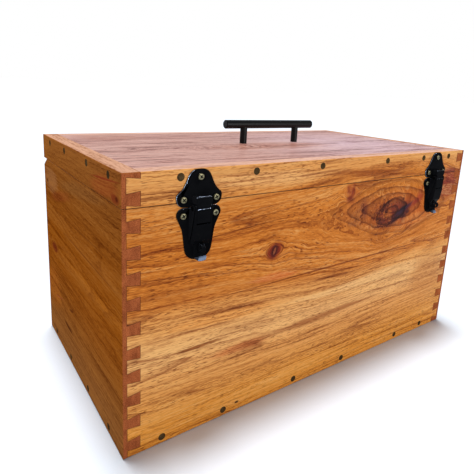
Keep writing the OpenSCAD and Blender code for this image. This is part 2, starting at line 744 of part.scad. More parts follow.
module handle_bolts() color(screw_metal) handle_places()
    translate([0, 0, case_height - panel_t]) handle_bolt();
module left_hinge_case_leaf() color(hinge_metal) case_leaf(left_hinge_x);
module left_hinge_lid_leaf() color(hinge_metal) lid_leaf(left_hinge_x);
module left_hinge_pin() color(hinge_metal) at_hinge(left_hinge_x) hinge_pin();
module right_hinge_case_leaf() color(hinge_metal) case_leaf(right_hinge_x);
module right_hinge_lid_leaf() color(hinge_metal) lid_leaf(right_hinge_x);
module right_hinge_pin() color(hinge_metal) at_hinge(right_hinge_x) hinge_pin();
module hinge_case_screws() color(hinge_metal) for (x = [left_hinge_x, right_hinge_x])
    at_hinge(x) on_bevel() leaf_screw_places(pin_to_bevel) flat_head_screw();
module hinge_lid_screws() color(hinge_metal) for (x = [left_hinge_x, right_hinge_x])
    at_hinge(x) under_lid() leaf_screw_places(pin_to_lid) flat_head_screw();
module left_latch_strike() color(black_metal) at_latch(left_latch_x) strike();
module left_latch_base() color(black_metal) at_latch(left_latch_x) base_plate();
module left_latch_staple() color(black_metal) at_latch(left_latch_x) staple();
module left_latch_lever() color(black_metal) at_latch(left_latch_x) lever();
module left_latch_claw() color(black_metal) at_latch(left_latch_x) claw();
module left_latch_rivets() color(black_metal) at_latch(left_latch_x) rivets();
module left_latch_claw_pin() color(black_metal) at_latch(left_latch_x) claw_pin();
module left_latch_strike_screws() color(screw_metal) at_latch(left_latch_x)
    strike_screw_places() round_head_screw();
module left_latch_base_screws() color(screw_metal) at_latch(left_latch_x)
    base_screw_places() round_head_screw();
module right_latch_strike() color(black_metal) at_latch(right_latch_x) strike();
module right_latch_base() color(black_metal) at_latch(right_latch_x) base_plate();
module right_latch_staple() color(black_metal) at_latch(right_latch_x) staple();
module right_latch_lever() color(black_metal) at_latch(right_latch_x) lever();
module right_latch_claw() color(black_metal) at_latch(right_latch_x) claw();
module right_latch_rivets() color(black_metal) at_latch(right_latch_x) rivets();
module right_latch_claw_pin() color(black_metal) at_latch(right_latch_x) claw_pin();
module right_latch_strike_screws() color(screw_metal) at_latch(right_latch_x)
    strike_screw_places() round_head_screw();
module right_latch_base_screws() color(screw_metal) at_latch(right_latch_x)
    base_screw_places() round_head_screw();

front_board();
back_board();
left_board();
right_board();
bottom_panel();
case_dowels();
lid_front_rail();
lid_back_rail();
lid_left_rail();
lid_right_rail();
lid_top_panel();
lid_dowels();
handle_bar();
handle_left_post();
handle_right_post();
handle_bolts();
left_hinge_case_leaf();
left_hinge_lid_leaf();
left_hinge_pin();
right_hinge_case_leaf();
right_hinge_lid_leaf();
right_hinge_pin();
hinge_case_screws();
hinge_lid_screws();
left_latch_strike();
left_latch_base();
left_latch_staple();
left_latch_lever();
left_latch_claw();
left_latch_rivets();
left_latch_claw_pin();
left_latch_strike_screws();
left_latch_base_screws();
right_latch_strike();
right_latch_base();
right_latch_staple();
right_latch_lever();
right_latch_claw();
right_latch_rivets();
right_latch_claw_pin();
right_latch_strike_screws();
right_latch_base_screws();
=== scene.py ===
import bpy
import bmesh
import json
import math
from mathutils import Matrix, Vector

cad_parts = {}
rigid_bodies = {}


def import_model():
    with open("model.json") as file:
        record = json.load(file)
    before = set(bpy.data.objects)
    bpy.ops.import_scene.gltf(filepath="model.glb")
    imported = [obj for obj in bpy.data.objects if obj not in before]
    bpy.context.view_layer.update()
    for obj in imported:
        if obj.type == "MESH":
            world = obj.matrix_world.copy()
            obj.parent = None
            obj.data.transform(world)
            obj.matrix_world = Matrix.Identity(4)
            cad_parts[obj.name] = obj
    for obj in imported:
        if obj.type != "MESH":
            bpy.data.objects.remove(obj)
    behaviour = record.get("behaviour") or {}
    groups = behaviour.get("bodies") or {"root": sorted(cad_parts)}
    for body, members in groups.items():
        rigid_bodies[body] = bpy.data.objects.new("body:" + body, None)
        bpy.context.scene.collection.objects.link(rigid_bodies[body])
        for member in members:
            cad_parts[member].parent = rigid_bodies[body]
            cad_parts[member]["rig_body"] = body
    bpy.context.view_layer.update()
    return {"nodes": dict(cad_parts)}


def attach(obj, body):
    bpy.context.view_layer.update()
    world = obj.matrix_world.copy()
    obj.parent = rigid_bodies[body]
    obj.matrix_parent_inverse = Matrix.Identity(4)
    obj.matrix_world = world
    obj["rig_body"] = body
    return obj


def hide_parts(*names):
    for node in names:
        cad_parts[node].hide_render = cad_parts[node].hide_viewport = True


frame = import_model()
nodes = frame["nodes"]
print("trunk loaded:", len(nodes), "pieces")


# colours are written as the 0 to 255 values a paint program shows
def tone(r, g, b):
    def linear(c):
        c = c / 255
        return c / 12.92 if c <= 0.04045 else ((c + 0.055) / 1.055) ** 2.4
    return (linear(r), linear(g), linear(b), 1.0)


# links an output to a socket, or sets the socket to a plain number or colour
def plug(tree, value, socket):
    if isinstance(value, bpy.types.NodeSocket):
        tree.links.new(value, socket)
    elif value is not None:
        socket.default_value = value


# each of the next helpers adds one node and hands back its output
def calc(tree, how, a, b=None, c=None, clamp=False):
    n = tree.nodes.new("ShaderNodeMath")
    n.operation = how
    n.use_clamp = clamp
    for value, socket in zip((a, b, c), n.inputs):
        plug(tree, value, socket)
    return n.outputs[0]


def between(tree, value, low, high, outLow=0.0, outHigh=1.0, smooth=True):
    n = tree.nodes.new("ShaderNodeMapRange")
    n.interpolation_type = "SMOOTHSTEP" if smooth else "LINEAR"
    for v, socket in zip((value, low, high, outLow, outHigh), n.inputs):
        plug(tree, v, socket)
    return n.outputs[0]


def point(tree, x, y, z):
    n = tree.nodes.new("ShaderNodeCombineXYZ")
    for v, socket in zip((x, y, z), n.inputs):
        plug(tree, v, socket)
    return n.outputs[0]


def cloud(tree, where, scale=1.0, detail=2.0, rough=0.5, distort=0.0):
    n = tree.nodes.new("ShaderNodeTexNoise")
    plug(tree, where, n.inputs["Vector"])
    n.inputs["Scale"].default_value = scale
    n.inputs["Detail"].default_value = detail
    n.inputs["Roughness"].default_value = rough
    n.inputs["Distortion"].default_value = distort
    return n.outputs[0]


def ramp(tree, value, stops, ease="LINEAR"):
    n = tree.nodes.new("ShaderNodeValToRGB")
    n.color_ramp.interpolation = ease
    marks = n.color_ramp.elements
    while len(marks) < len(stops):
        marks.new(0.5)
    for mark, (at, colour) in zip(marks, stops):
        mark.position = at
        mark.color = colour
    plug(tree, value, n.inputs[0])
    return n.outputs[0]


def blend(tree, share, a, b, how="MIX"):
    n = tree.nodes.new("ShaderNodeMix")
    n.data_type = "RGBA"
    n.blend_type = how
    n.clamp_factor = True
    # a mix node keeps its two colours in sockets 6 and 7
    plug(tree, share, n.inputs[0])
    plug(tree, a, n.inputs[6])
    plug(tree, b, n.inputs[7])
    return n.outputs[2]


def emboss(tree, height, strength, distance):
    n = tree.nodes.new("ShaderNodeBump")
    n.inputs["Strength"].default_value = strength
    n.inputs["Distance"].default_value = distance
    plug(tree, height, n.inputs["Height"])
    return n.outputs[0]


def axesOf(tree, vector):
    n = tree.nodes.new("ShaderNodeSeparateXYZ")
    tree.links.new(vector, n.inputs[0])
    return n.outputs[0], n.outputs[1], n.outputs[2]


def newMaterial(name):
    made = bpy.data.materials.new(name)
    made.use_nodes = True
    tree = made.node_tree
    shader = next(n for n in tree.nodes if n.type == "BSDF_PRINCIPLED")
    coords = tree.nodes.new("ShaderNodeTexCoord")
    return made, tree, shader, coords


# sums of several nodes, and of two squares
def sumOf(tree, first, *rest):
    for value in rest:
        first = calc(tree, "ADD", first, value)
    return first


def squares(tree, a, b):
    return calc(tree, "ADD", calc(tree, "MULTIPLY", a, a), calc(tree, "MULTIPLY", b, b))


# noise lies round one half, so swing goes to either side of nothing, and sway to either side of a value
def swing(tree, noise, size):
    return calc(tree, "MULTIPLY", calc(tree, "SUBTRACT", noise, 0.5), size)


def sway(tree, noise, size, value):
    return calc(tree, "MULTIPLY_ADD", calc(tree, "SUBTRACT", noise, 0.5), size, value)


# turns an offset by some degrees, for shapes that lean
def leaned(tree, du, dv, degrees):
    lean = math.radians(degrees)
    pu = calc(tree, "MULTIPLY_ADD", dv, math.sin(lean), calc(tree, "MULTIPLY", du, math.cos(lean)))
    pv = calc(tree, "MULTIPLY_ADD", du, -math.sin(lean), calc(tree, "MULTIPLY", dv, math.cos(lean)))
    return pu, pv


# what a tint, stain or knot has where its own line says nothing
plainPatch = {"lean": 0, "fray": 1.2, "inner": 0.5, "rim": 1.15, "by": "streaky", "how": "MIX"}
plainKnot = {"lean": 0, "bend": 1.2, "bendAcross": 0.5, "tight": 1.6, "least": 1e-8}


# a mask in the shape of a soft ellipse: full strength inside, none outside, and an edge that noise frays
def patch(tree, along, across, look, fray):
    pu, pv = leaned(tree, calc(tree, "SUBTRACT", along, look["at"][0]),
                    calc(tree, "SUBTRACT", across, look["at"][1]), look["lean"])
    reach = calc(tree, "SQRT", squares(tree, calc(tree, "DIVIDE", pu, look["size"][0]),
                                       calc(tree, "DIVIDE", pv, look["size"][1])))
    reach = sway(tree, fray, look["fray"], reach)
    return calc(tree, "MULTIPLY", between(tree, reach, look["inner"], look["rim"], 1, 0), look["strength"])


# thin lines that run round a knot in loops, closer together on the side of their point
loopShape = {"taper": (-1.1, -0.2), "lineEnd": (0.86, 1.0), "fade": (0.95, 1.25)}


def loopLines(tree, along, across, look, wobble, crumple):
    pu, pv = leaned(tree, calc(tree, "SUBTRACT", along, look["at"][0]),
                    calc(tree, "SUBTRACT", across, look["at"][1]), look["lean"])
    pu = calc(tree, "DIVIDE", pu, look["size"][0])
    taper = between(tree, pu, *loopShape["taper"], look["point"], 1.0)
    pv = calc(tree, "DIVIDE", pv, calc(tree, "MULTIPLY", taper, look["size"][1]))
    reach = sway(tree, wobble, look["wobble"], calc(tree, "SQRT", squares(tree, pu, pv)))
    reach = sway(tree, crumple, look["crumple"], reach)
    level = calc(tree, "FRACT", calc(tree, "MULTIPLY", reach, look["count"]))
    line = calc(tree, "MULTIPLY", calc(tree, "POWER", level, look["sharp"]),
                between(tree, level, *loopShape["lineEnd"], 1, 0))
    return calc(tree, "MULTIPLY", line, between(tree, reach, *loopShape["fade"], look["strength"], 0))


# outside a knot the lines run round it, and inside they close into rings
def knotFlow(tree, here, v, knots, ripple, crumple):
    for knot in knots:
        knot = dict(plainKnot, **knot)
        radius = knot["radius"]
        bend = radius * knot["bend"]
        du = sway(tree, ripple, bend * knot["long"], calc(tree, "SUBTRACT", here, knot["at"][0]))
        dv = sway(tree, crumple, bend * knot["bendAcross"], calc(tree, "SUBTRACT", v, knot["at"][1]))
        ku, kv = leaned(tree, du, dv, knot["lean"])
        square = squares(tree, calc(tree, "DIVIDE", ku, knot["long"]), kv)
        reach = calc(tree, "SQRT", calc(tree, "ADD", square, knot["least"]))
        push = calc(tree, "DIVIDE", calc(tree, "MULTIPLY", dv, radius * radius),
                    calc(tree, "MAXIMUM", square, radius * radius))
        inside = calc(tree, "SUBTRACT", radius, calc(tree, "MINIMUM", reach, radius))
        rings = calc(tree, "MULTIPLY", inside, knot["tight"])
        v = calc(tree, "ADD", calc(tree, "SUBTRACT", v, push), rings)
    return v


# the thin dark line between tails and pins
def cornerLines(tree, xyz, joint):
    def thin(gap):
        return between(tree, calc(tree, "ABSOLUTE", gap), joint["core"], joint["line"], 1, 0)

    masks = []
    for side, lowest in ((-1, joint["leftPin"]), (1, joint["rightPin"])):
        inward = calc(tree, "SUBTRACT", joint["halfLength"], calc(tree, "MULTIPLY", xyz[0], side))
        half = calc(tree, "MULTIPLY_ADD", calc(tree, "SUBTRACT", inward, joint["board"]),
                    math.tan(math.radians(joint["angle"])), joint["pin"] / 2)
        turn = calc(tree, "SUBTRACT", xyz[2], lowest)
        nearest = calc(tree, "MULTIPLY", calc(tree, "ROUND", calc(tree, "DIVIDE", turn, joint["pitch"])),
                       joint["pitch"])
        near = calc(tree, "ABSOLUTE", calc(tree, "SUBTRACT", turn, nearest))
        inCorner = calc(tree, "MULTIPLY", calc(tree, "LESS_THAN", inward, joint["board"]),
                        calc(tree, "GREATER_THAN", inward, joint["lap"]))
        flank = calc(tree, "MULTIPLY", thin(calc(tree, "SUBTRACT", near, half)), inCorner)
        lapEnd = calc(tree, "MULTIPLY", thin(calc(tree, "SUBTRACT", inward, joint["lap"])),
                      calc(tree, "GREATER_THAN", near, half))
        pinEnd = calc(tree, "MULTIPLY", thin(calc(tree, "SUBTRACT", inward, joint["board"])),
                      calc(tree, "LESS_THAN", near, half))
        masks.append(calc(tree, "MAXIMUM", flank, calc(tree, "MAXIMUM", lapEnd, pinEnd)))
    return calc(tree, "MULTIPLY", calc(tree, "MAXIMUM", *masks), joint["shade"])


# which axes run along, across and into a plank
grainAxes = {"x": (0, 2, 1), "y": (1, 2, 0), "flat": (0, 1, 2)}
# how fine each layer is along, across and into the plank, then its detail, roughness and distortion
grainLayers = {
    "drift": (3.2, 7.0, 9.0, 2, 0.5), "ripple": (24, 42, 30, 2, 0.5), "crumple": (75, 110, 60, 2, 0.6),
    "bands": (1.6, 30, 22, 2, 0.5), "streaks": (5.5, 170, 110, 4, 0.62, 0.1),
    "threads": (20, 560, 340, 3, 0.62), "fibres": (130, 1150, 700, 2, 0.6),
    "pores": (115, 1000, 800, 1, 0.5), "poreField": (7, 50, 40, 3, 0.6),
    "figure": (26, 22, 1, 0.4)}  # how long the figure is differs from plank to plank
# scale, detail, roughness and distortion of the noise that doesn't follow the grain
grainNoise = {"speckle": (230, 3, 0.65), "dots": (1100, 2, 0.6), "yearRings": (1.0, 3, 0.6, 0.3)}
grainLook = {
    "lighten": -0.55, "lateRise": 4.0, "lateStop": (0.90, 1.0), "lateWhere": (0.40, 0.62), "lateLeast": 0.25,
    "lineSoft": 0.06, "poreEdge": (0.56, 0.66), "poreWhere": (0.36, 0.60), "poreLeast": 0.25,
    "endFacing": (0.6, 0.85), "ringsAcross": 60, "ringsDeep": 130, "endContrast": 1.3,
    "endShades": (0.25, 0.75),
    # the next two lines paint a paler sheen on faces that look up, and a shadow line along the seam
    "upFacing": (0.85, 0.95), "upSheenContrast": 1.5, "upSheenShare": 0.3,
    "seamShadeEdge": (0.0002, 0.0008), "seamShadeWhere": (0.35, 0.6), "seamShadeLeast": 0.7, "seamShade": tone(62, 28, 14),
    "frontFacing": (0.7, 0.9), "jointLine": tone(64, 34, 20),
    "roughWhere": (0.3, 0.7), "smoother": 0.07, "rougher": 0.09,
    "threadRelief": 0.4, "fibreRelief": 0.35, "poreRelief": -0.9, "endRelief": 0.4,
    "relief": 0.5, "depth": 0.00022}


# one plank of solid wood: grain runs along one axis, and knots push it aside
def woodMaterial(name, look):
    made, tree, shader, coords = newMaterial(name)
    rule = grainLook
    place = coords.outputs["Object"]
    xyz = axesOf(tree, place)
    facing = axesOf(tree, coords.outputs["Normal"])
    order = grainAxes[look["grain"]]
    here, across, deep = (xyz[i] for i in order)
    along = calc(tree, "ADD", here, look["seed"])

    def layer(v, su, sv, sw, detail, rough, distort=0.0):
        where = point(tree, calc(tree, "MULTIPLY", along, su), calc(tree, "MULTIPLY", v, sv),
                      calc(tree, "MULTIPLY", deep, sw))
        return cloud(tree, where, 1.0, detail, rough, distort)

    drift, ripple, crumple = (layer(across, *grainLayers[part]) for part in ("drift", "ripple", "crumple"))
    v = sway(tree, drift, look["wander"], across)
    v = sway(tree, ripple, look["ripple"], v)
    v = knotFlow(tree, here, v, look["knots"], ripple, crumple)
    bands, streaks, threads, fibres, pores, poreField = (
        layer(v, *grainLayers[part])
        for part in ("bands", "streaks", "threads", "fibres", "pores", "poreField"))
    figure = layer(v, look["figureLong"], *grainLayers["figure"])
    frays = {"fine": threads, "broad": ripple, "streaky": streaks,
             "dots": cloud(tree, place, *grainNoise["speckle"])}

    # the plank's own colours from one edge to the other, bent by the same flow as its lines
    colour = ramp(tree, calc(tree, "DIVIDE", v, look["width"]), look["across"], "B_SPLINE")
    for spot in look["tints"]:
        spot = dict(plainPatch, **spot)
        colour = blend(tree, patch(tree, here, across, spot, streaks), colour, spot["colour"])
    depth = sumOf(tree, swing(tree, bands, look["bands"]), swing(tree, streaks, look["streaks"]),
                  swing(tree, threads, look["threads"]), swing(tree, fibres, look["fibres"]))
    colour = blend(tree, calc(tree, "MAXIMUM", depth, 0.0, clamp=True), colour, look["darkTint"], "MULTIPLY")
    colour = blend(tree, calc(tree, "MULTIPLY", depth, rule["lighten"], clamp=True), colour,
                   look["lightTint"])

    # growth lines: the late wood darkens slowly and stops at once
    level = calc(tree, "FRACT", calc(tree, "MULTIPLY", figure, look["ringCount"]))
    late = calc(tree, "MULTIPLY", calc(tree, "POWER", level, rule["lateRise"]),
                between(tree, level, *rule["lateStop"], 1, 0))
    late = calc(tree, "MULTIPLY", late, between(tree, poreField, *rule["lateWhere"], rule["lateLeast"], 1.0))
    colour = blend(tree, calc(tree, "MULTIPLY", late, look["rings"], clamp=True), colour, look["ringTint"],
                   "MULTIPLY")
    line = between(tree, streaks, look["lineAt"], look["lineAt"] + rule["lineSoft"], 0, 1)
    colour = blend(tree, calc(tree, "MULTIPLY", line, look["lines"]), colour, look["lineTint"], "MULTIPLY")
    for stain in look["stains"]:
        stain = dict(plainPatch, **stain)
        mask = patch(tree, here, across, stain, frays[stain["by"]])
        colour = blend(tree, mask, colour, stain["colour"], stain["how"])
    for loop in look["loops"]:
        mask = loopLines(tree, here, across, loop, ripple, crumple)
        colour = blend(tree, mask, colour, loop["colour"], "MULTIPLY")
    poreMask = calc(tree, "MULTIPLY", between(tree, pores, *rule["poreEdge"]),
                    between(tree, poreField, *rule["poreWhere"], rule["poreLeast"], 1))
    colour = blend(tree, calc(tree, "MULTIPLY", poreMask, look["pores"]), colour, look["poreTint"],
                   "MULTIPLY")

    # end grain is darker and redder, and it shows the pores as dots
    endOn = between(tree, calc(tree, "ABSOLUTE", facing[order[0]]), *rule["endFacing"])
    dots = cloud(tree, place, *grainNoise["dots"])
    where = point(tree, calc(tree, "MULTIPLY", across, rule["ringsAcross"]),
                  calc(tree, "MULTIPLY", deep, rule["ringsDeep"]), 0.0)
    yearRings = cloud(tree, where, *grainNoise["yearRings"])
    endFace = ramp(tree, sway(tree, dots, rule["endContrast"], yearRings),
                   list(zip(rule["endShades"], look["endColours"])))
    colour = blend(tree, endOn, colour, endFace)
    if "upSheenTint" in look:
        # faces that look up are paler, partly their edge grain and partly a painted sheen of the light from
        # above, and a painted shadow line darkens the seam
        upSheenShare = calc(tree, "MULTIPLY_ADD", depth, rule["upSheenContrast"], rule["upSheenShare"], clamp=True)
        upSheen = blend(tree, upSheenShare, look["upSheenTint"], look["upSheenLine"])
        colour = blend(tree, between(tree, facing[2], *rule["upFacing"]), colour, upSheen)
        # a thin band just above and below the seam is darkened: painted shade in the gap between lid and box
        gap = calc(tree, "ABSOLUTE", calc(tree, "SUBTRACT", xyz[2], seamHeight))
        seamShade = calc(tree, "MULTIPLY", between(tree, gap, *rule["seamShadeEdge"], look["seam"], 0),
                    between(tree, threads, *rule["seamShadeWhere"], rule["seamShadeLeast"], 1.0))
        colour = blend(tree, seamShade, colour, rule["seamShade"])
    if "joint" in look:
        # the joint shows on the faces at the front and the back
        showing = between(tree, calc(tree, "ABSOLUTE", facing[1]), *rule["frontFacing"])
        colour = blend(tree, calc(tree, "MULTIPLY", cornerLines(tree, xyz, look["joint"]), showing), colour,
                       rule["jointLine"])
    plug(tree, colour, shader.inputs["Base Color"])
    plug(tree, between(tree, threads, *rule["roughWhere"], look["rough"] - rule["smoother"],
                       look["rough"] + rule["rougher"]), shader.inputs["Roughness"])
    shader.inputs["Specular IOR Level"].default_value = look["gloss"]
    relief = sumOf(tree, calc(tree, "MULTIPLY", threads, rule["threadRelief"]),
                   calc(tree, "MULTIPLY", fibres, rule["fibreRelief"]),
                   calc(tree, "MULTIPLY", poreMask, rule["poreRelief"]),
                   calc(tree, "MULTIPLY", endOn, calc(tree, "MULTIPLY", dots, rule["endRelief"])))
    tree.links.new(emboss(tree, relief, rule["relief"], rule["depth"]), shader.inputs["Normal"])
    return made


seamHeight = max(v.co.z for v in nodes["front_board"].data.vertices)
dovetails = {"halfLength": 0.2775, "board": 0.018, "lap": 0.0045, "pin": 0.014, "angle": 7, "pitch": 0.0254,
             "leftPin": 0.0137, "rightPin": 0.002, "core": 0.0001, "line": 0.00045, "shade": 0.75}

# places on the front board are metres from its middle and from the ground
frontWood = {
    "grain": "x", "seed": 0.0, "width": 0.292, "wander": 0.010, "ripple": 0.003,
    "across": [(0.0, tone(224, 148, 60)), (0.10, tone(212, 138, 48)), (0.20, tone(209, 144, 74)),
               (0.29, tone(208, 141, 73)), (0.37, tone(226, 174, 112)), (0.45, tone(219, 158, 90)),
               (0.52, tone(210, 142, 72)), (0.56, tone(197, 117, 42)), (0.70, tone(195, 113, 36)),
               (0.86, tone(197, 117, 42)), (0.90, tone(211, 144, 76)), (1.0, tone(214, 149, 82))],
    "tints": [
        {"at": (0.1461, 0.1161), "size": (0.17, 0.012), "strength": 0.55, "colour": tone(226, 180, 122),
         "fray": 2.0},
        {"at": (-0.1655, 0.1279), "size": (0.075, 0.010), "strength": 0.6, "colour": tone(214, 138, 62),
         "fray": 2.0},
        {"at": (-0.1409, 0.0822), "size": (0.05, 0.006), "strength": 0.6, "colour": tone(196, 104, 52),
         "fray": 2.0},
        {"at": (-0.0916, 0.1581), "size": (0.035, 0.006), "strength": 0.6, "colour": tone(190, 92, 46),
         "fray": 2.0},
        {"at": (-0.1210, 0.2758), "size": (0.10, 0.009), "strength": 0.6, "colour": tone(226, 170, 108),
         "fray": 2.0},
        {"at": (0.2480, 0.2400), "size": (0.034, 0.030), "strength": 0.95, "colour": tone(142, 56, 34),
         "fray": 1.8},
        {"at": (0.1380, 0.2120), "size": (0.095, 0.034), "strength": 0.8, "colour": tone(184, 90, 30)},
        {"at": (0.0500, 0.2180), "size": (0.060, 0.026), "strength": 0.5, "colour": tone(176, 96, 42),
         "fray": 1.6},
        {"at": (0.2230, 0.0980), "size": (0.050, 0.046), "strength": 0.6, "colour": tone(184, 116, 54)},
        {"at": (0.1700, 0.1974), "size": (0.024, 0.008), "strength": 0.6, "colour": tone(212, 134, 66)}],
    "bands": 1.7, "streaks": 2.1, "threads": 2.2, "fibres": 1.7,
    "darkTint": tone(156, 100, 60), "lightTint": tone(232, 182, 112),
    "ringCount": 20, "rings": 1.0, "ringTint": tone(150, 90, 56), "figureLong": 1.1,
    "lineAt": 0.62, "lines": 0.45, "lineTint": tone(146, 92, 62),
    "pores": 0.75, "poreTint": tone(134, 84, 52),
    "knots": [
        {"at": (-0.0985, 0.1900), "radius": 0.0085, "long": 1.4, "bend": 0.5},
        {"at": (0.0205, 0.2462), "radius": 0.008, "long": 1.3, "bend": 1.0},
        {"at": (0.0861, 0.2180), "radius": 0.031, "long": 2.9, "lean": 3, "tight": 0.35, "bend": 0.9},
        {"at": (0.1290, 0.2102), "radius": 0.013, "long": 3.0, "lean": 21, "tight": 0.6, "bend": 0.9}],
    "stains": [
        # the knot on the left
        {"at": (-0.0985, 0.1900), "size": (0.0150, 0.0110), "lean": 32, "strength": 0.95,
         "colour": tone(118, 32, 18), "by": "fine"},
        {"at": (-0.0989, 0.1900), "size": (0.0056, 0.0095), "lean": -18, "strength": 0.95,
         "colour": tone(66, 24, 18), "by": "fine", "fray": 0.8},
        {"at": (-0.0986, 0.1900), "size": (0.0017, 0.0050), "lean": -18, "strength": 0.75,
         "colour": tone(150, 80, 48), "by": "fine", "fray": 0.4},
        # the small knot in the middle, with its rays
        {"at": (0.0205, 0.2465), "size": (0.017, 0.0145), "strength": 0.8, "colour": tone(150, 58, 28),
         "by": "broad", "inner": 0.05, "fray": 2.0},
        {"at": (0.0165, 0.2500), "size": (0.0042, 0.0095), "lean": 16, "strength": 0.7,
         "colour": tone(116, 34, 20), "by": "broad", "inner": 0.1, "fray": 3.0},
        {"at": (0.0250, 0.2495), "size": (0.0040, 0.0110), "lean": -14, "strength": 0.75,
         "colour": tone(112, 30, 18), "by": "broad", "inner": 0.1, "fray": 3.0},
        {"at": (0.0200, 0.2400), "size": (0.0090, 0.0052), "lean": -8, "strength": 0.8,
         "colour": tone(100, 26, 18), "by": "broad", "inner": 0.1, "fray": 3.0},
        # the large knot
        {"at": (0.0530, 0.2200), "size": (0.007, 0.018), "lean": 12, "strength": 0.7,
         "colour": tone(124, 58, 30), "by": "broad", "inner": 0.2, "fray": 1.6},
        {"at": (0.1190, 0.2090), "size": (0.050, 0.0200), "lean": 14, "strength": 0.88,
         "colour": tone(118, 42, 26), "inner": 0.45, "fray": 1.6},
        {"at": (0.1300, 0.2060), "size": (0.036, 0.0095), "lean": 25, "strength": 0.95,
         "colour": tone(64, 22, 24), "inner": 0.45, "fray": 2.2},
        {"at": (0.1400, 0.2130), "size": (0.019, 0.0040), "lean": 24, "strength": 0.85,
         "colour": tone(52, 30, 46), "by": "fine", "fray": 2.4},
        {"at": (0.0915, 0.2125), "size": (0.0145, 0.017), "lean": -14, "strength": 0.85,
         "colour": tone(84, 30, 26), "by": "dots", "inner": 0.1, "fray": 6.0},
        {"at": (0.1660, 0.2210), "size": (0.022, 0.0070), "lean": 24, "strength": 0.85,
         "colour": tone(142, 46, 32), "inner": 0.2, "fray": 2.0},
        {"at": (0.1750, 0.2330), "size": (0.010, 0.018), "lean": -18, "strength": 0.5,
         "colour": tone(156, 66, 40), "by": "broad", "inner": 0.2, "fray": 1.6},
        {"at": (0.1010, 0.2080), "size": (0.010, 0.008), "strength": 0.8, "colour": tone(206, 112, 44),
         "by": "dots", "inner": 0.1, "fray": 5.0},
        {"at": (0.0500, 0.2250), "size": (0.012, 0.014), "lean": 8, "strength": 0.55,
         "colour": tone(132, 66, 36), "inner": 0.1, "fray": 4.5},
        # two red streaks at the right end
        {"at": (0.2480, 0.2600), "size": (0.034, 0.0035), "strength": 0.7, "colour": tone(118, 42, 30),
         "fray": 2.4},
        {"at": (0.2480, 0.2440), "size": (0.034, 0.0030), "strength": 0.6, "colour": tone(120, 44, 30),
         "fray": 2.4},
        # a small dark mark near the ground
        {"at": (-0.1406, 0.0100), "size": (0.0032, 0.0018), "strength": 0.95, "colour": tone(58, 34, 24),
         "by": "fine", "fray": 0.6},
        # single streaks and thin lines along the grain
        {"at": (-0.0020, 0.1382), "size": (0.045, 0.0024), "lean": -2, "strength": 0.75,
         "colour": tone(150, 98, 58), "how": "MULTIPLY", "fray": 2.0},
        {"at": (-0.1940, 0.1005), "size": (0.045, 0.0024), "strength": 0.85, "colour": tone(150, 98, 58),
         "how": "MULTIPLY", "fray": 2.0},
        {"at": (-0.0050, 0.0850), "size": (0.11, 0.0050), "lean": 1.5, "strength": 0.7,
         "colour": tone(160, 104, 66), "how": "MULTIPLY", "fray": 3.6},
        {"at": (0.0650, 0.2700), "size": (0.12, 0.0060), "lean": -3, "strength": 0.65,
         "colour": tone(160, 104, 62), "how": "MULTIPLY", "fray": 4.0},
        {"at": (0.0200, 0.1525), "size": (0.20, 0.0013), "lean": 0.6, "strength": 0.8,
         "colour": tone(142, 84, 50), "how": "MULTIPLY", "fray": 0.8},
        {"at": (-0.1500, 0.2225), "size": (0.075, 0.0009), "lean": 5, "strength": 0.6,
         "colour": tone(140, 84, 50), "how": "MULTIPLY", "fray": 0.5},
        {"at": (-0.2150, 0.1835), "size": (0.060, 0.0009), "lean": -5, "strength": 0.6,
         "colour": tone(140, 84, 50), "how": "MULTIPLY", "fray": 0.5},
        {"at": (-0.0650, 0.2400), "size": (0.090, 0.0009), "lean": 6, "strength": 0.5,
         "colour": tone(140, 84, 50), "how": "MULTIPLY", "fray": 0.6}],
    "loops": [
        {"at": (0.1130, 0.2185), "size": (0.118, 0.036), "lean": -2, "point": 0.35, "count": 3.6,
         "wobble": 0.30, "crumple": 0.04, "sharp": 2.6, "strength": 1.0, "colour": tone(112, 50, 28)},
        {"at": (0.1100, 0.2110), "size": (0.040, 0.022), "lean": 12, "point": 0.7, "count": 2.3,
         "wobble": 0.5, "crumple": 0.20, "sharp": 1.6, "strength": 0.95, "colour": tone(80, 30, 22)}],
    "endColours": (tone(122, 62, 32), tone(176, 102, 56)),
    # the paler tones for faces that look up are partly edge grain, partly a painted sheen of light from above
    "upSheenTint": tone(224, 180, 160), "upSheenLine": tone(190, 140, 114),
    "rough": 0.5, "gloss": 0.06, "joint": dovetails, "seam": 0.85}

# the back is the same kind of board with two small knots of its own
backWood = dict(
    frontWood, seed=1.7, tints=[], loops=[],
    knots=[
        {"at": (0.11, 0.105), "radius": 0.008, "long": 1.4},
        {"at": (-0.14, 0.196), "radius": 0.011, "long": 1.6}],
    stains=[
        {"at": (0.11, 0.105), "size": (0.0062, 0.0085), "strength": 0.85, "colour": tone(96, 38, 26),
         "by": "fine"},
        {"at": (-0.14, 0.196), "size": (0.014, 0.010), "strength": 0.7, "colour": tone(120, 54, 32),
         "by": "fine"}])
